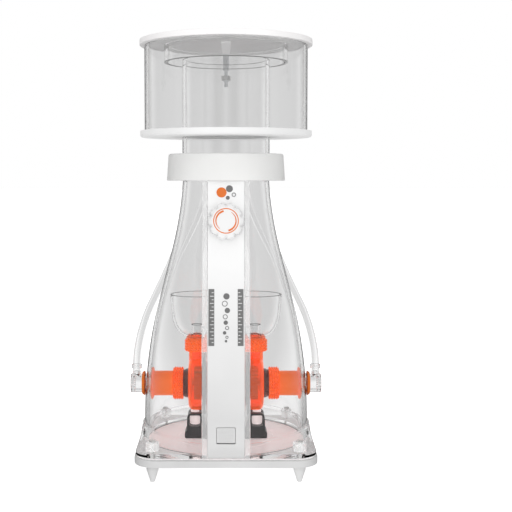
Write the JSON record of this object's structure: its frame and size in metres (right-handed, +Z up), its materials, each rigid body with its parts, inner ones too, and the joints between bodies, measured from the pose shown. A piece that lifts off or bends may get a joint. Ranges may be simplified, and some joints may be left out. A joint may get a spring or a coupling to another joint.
{
  "type": "protein skimmer",
  "caption": "In-sump protein skimmer: clear bottle body on a square base, pumps with needle wheels, level knob and gate, lift-off cup with lid and float switch.",
  "frame": {"origin": "on the body's vertical axis at the level of the feet's tips", "axes": "+Z up along the body, -Y out of the front panel, +X to the right as seen from the front"},
  "size_m": [0.2486, 0.225, 0.5476],
  "materials": {
    "white_shell": "satin white moulding",
    "foot_plastic": "satin",
    "clear_body": "polished clear acrylic",
    "clear_cup": "polished clear acrylic",
    "clear_fitting": "polished clear acrylic",
    "orange_nut": "satin, knurled",
    "orange_volute": "glossy, slightly translucent",
    "orange_pipe": "semi gloss",
    "orange_trim": "satin",
    "dark_flange": "smoky translucent",
    "black_plastic": "satin",
    "motor_shell": "satin",
    "needle_plastic": "satin",
    "magnet": "satin sleeve",
    "ceramic": "polished",
    "black_rubber": "matt",
    "peg_silicone": "translucent",
    "floor_plastic": "satin",
    "scale_print": "printed",
    "steel": "brushed",
    "silencer_foam": "open cell foam",
    "grey_plastic": "satin",
    "float_foam": "closed cell",
    "hose_clear": "clear silicone"
  },
  "bodies": {
    "body": {"base_plate": "white_shell", "feet": "foot_plastic", "foot_rings": "orange_trim", "corner_screws": "steel", "base_skirt": "clear_body", "base_gasket": "black_rubber", "floor_disc": "floor_plastic", "bottle": "clear_body", "duct_walls": "clear_body", "front_panel": "white_shell", "level_scales": "scale_print", "panel_mark": "orange_trim", "gate_rails": "white_shell", "latch_spring": "steel", "collar": "white_shell", "collar_floor": "white_shell", "foam_ring": "silencer_foam", "hose_barbs": "grey_plastic", "neck_o_ring": "black_rubber", "hose_clips": "grey_plastic", "air_hose_left": "hose_clear", "air_hose_right": "hose_clear", "volute_left": "orange_volute", "volute_right": "orange_volute", "inlet_flange_left": "dark_flange", "inlet_flange_right": "dark_flange", "motor_can_left": "motor_shell", "motor_can_right": "motor_shell", "motor_plates": "black_plastic", "ceramic_shafts": "ceramic", "shaft_bushes": "black_plastic", "cord_glands": "black_plastic", "bubble_bowl_left": "clear_fitting", "bubble_bowl_right": "clear_fitting", "intake_tubes": "orange_pipe", "bulkhead_flanges": "orange_pipe", "saddle_washers": "orange_pipe", "air_fittings": "clear_fitting", "pump_feet": "black_rubber", "foot_pegs": "peg_silicone"},
    "cup": {"cup_plate": "white_shell", "cup_wall": "clear_cup", "riser": "clear_cup"},
    "lid": {"lid": "white_shell", "lid_ring": "clear_cup", "float_switch": "grey_plastic"},
    "float": {"float": "float_foam"},
    "knob": {"knob": "white_shell", "knob_ring": "orange_trim", "knob_shaft": "steel"},
    "gate": {"level_gate": "white_shell"},
    "latch": {"latch": "white_shell"},
    "impeller_left": {"needle_wheel_left": "needle_plastic", "magnet_rotor_left": "magnet"},
    "impeller_right": {"needle_wheel_right": "needle_plastic", "magnet_rotor_right": "magnet"},
    "union_nut_left": {"union_nut_left": "orange_nut"},
    "union_nut_right": {"union_nut_right": "orange_nut"},
    "outlet_nut_left": {"outlet_nut_left": "orange_nut"},
    "outlet_nut_right": {"outlet_nut_right": "orange_nut"}
  },
  "joints": [
    {"name": "cup_lift", "type": "slide", "parent": "body", "child": "cup", "axis": [0, 0, 1], "range_m": [0, 0.12]},
    {"name": "lid_lift", "type": "slide", "parent": "cup", "child": "lid", "axis": [0, 0, 1], "range_m": [0, 0.08]},
    {"name": "float_rise", "type": "slide", "parent": "lid", "child": "float", "axis": [0, 0, 1], "range_m": [0, 0.0065]},
    {"name": "knob_turn", "type": "hinge", "parent": "body", "child": "knob", "pos_m": [0, -0.07469, 0.318], "axis": [0, -0.9903, 0.1392], "range_deg": [-120, 120]},
    {"name": "gate_travel", "type": "slide", "parent": "body", "child": "gate", "axis": [0, 0.1392, 0.9903], "range_m": [-0.01005, 0.01005]},
    {"name": "latch_push", "type": "slide", "parent": "body", "child": "latch", "axis": [0, 1, 0], "range_m": [0, 0.0015], "stiffness_N_per_m": 800, "deforming": ["latch_spring"]},
    {"name": "impeller_spin_left", "type": "hinge", "parent": "body", "child": "impeller_left", "pos_m": [-0.035, 0, 0.104], "axis": [1, 0, 0], "continuous": true},
    {"name": "impeller_spin_right", "type": "hinge", "parent": "body", "child": "impeller_right", "pos_m": [0.035, 0, 0.104], "axis": [1, 0, 0], "continuous": true},
    {"name": "union_nut_turn_left", "type": "hinge", "parent": "body", "child": "union_nut_left", "pos_m": [-0.062, 0, 0.104], "axis": [1, 0, 0], "range_deg": [0, 360]},
    {"name": "union_nut_turn_right", "type": "hinge", "parent": "body", "child": "union_nut_right", "pos_m": [0.062, 0, 0.104], "axis": [1, 0, 0], "range_deg": [0, 360]},
    {"name": "outlet_nut_turn_left", "type": "hinge", "parent": "body", "child": "outlet_nut_left", "pos_m": [-0.0375, 0, 0.155], "axis": [0, 0, 1], "range_deg": [0, 360]},
    {"name": "outlet_nut_turn_right", "type": "hinge", "parent": "body", "child": "outlet_nut_right", "pos_m": [0.0375, 0, 0.155], "axis": [0, 0, 1], "range_deg": [0, 360]}
  ],
  "couplings": [
    {"joint": "knob_turn", "follows": "gate_travel", "rad_per_m": 208.33}
  ]
}
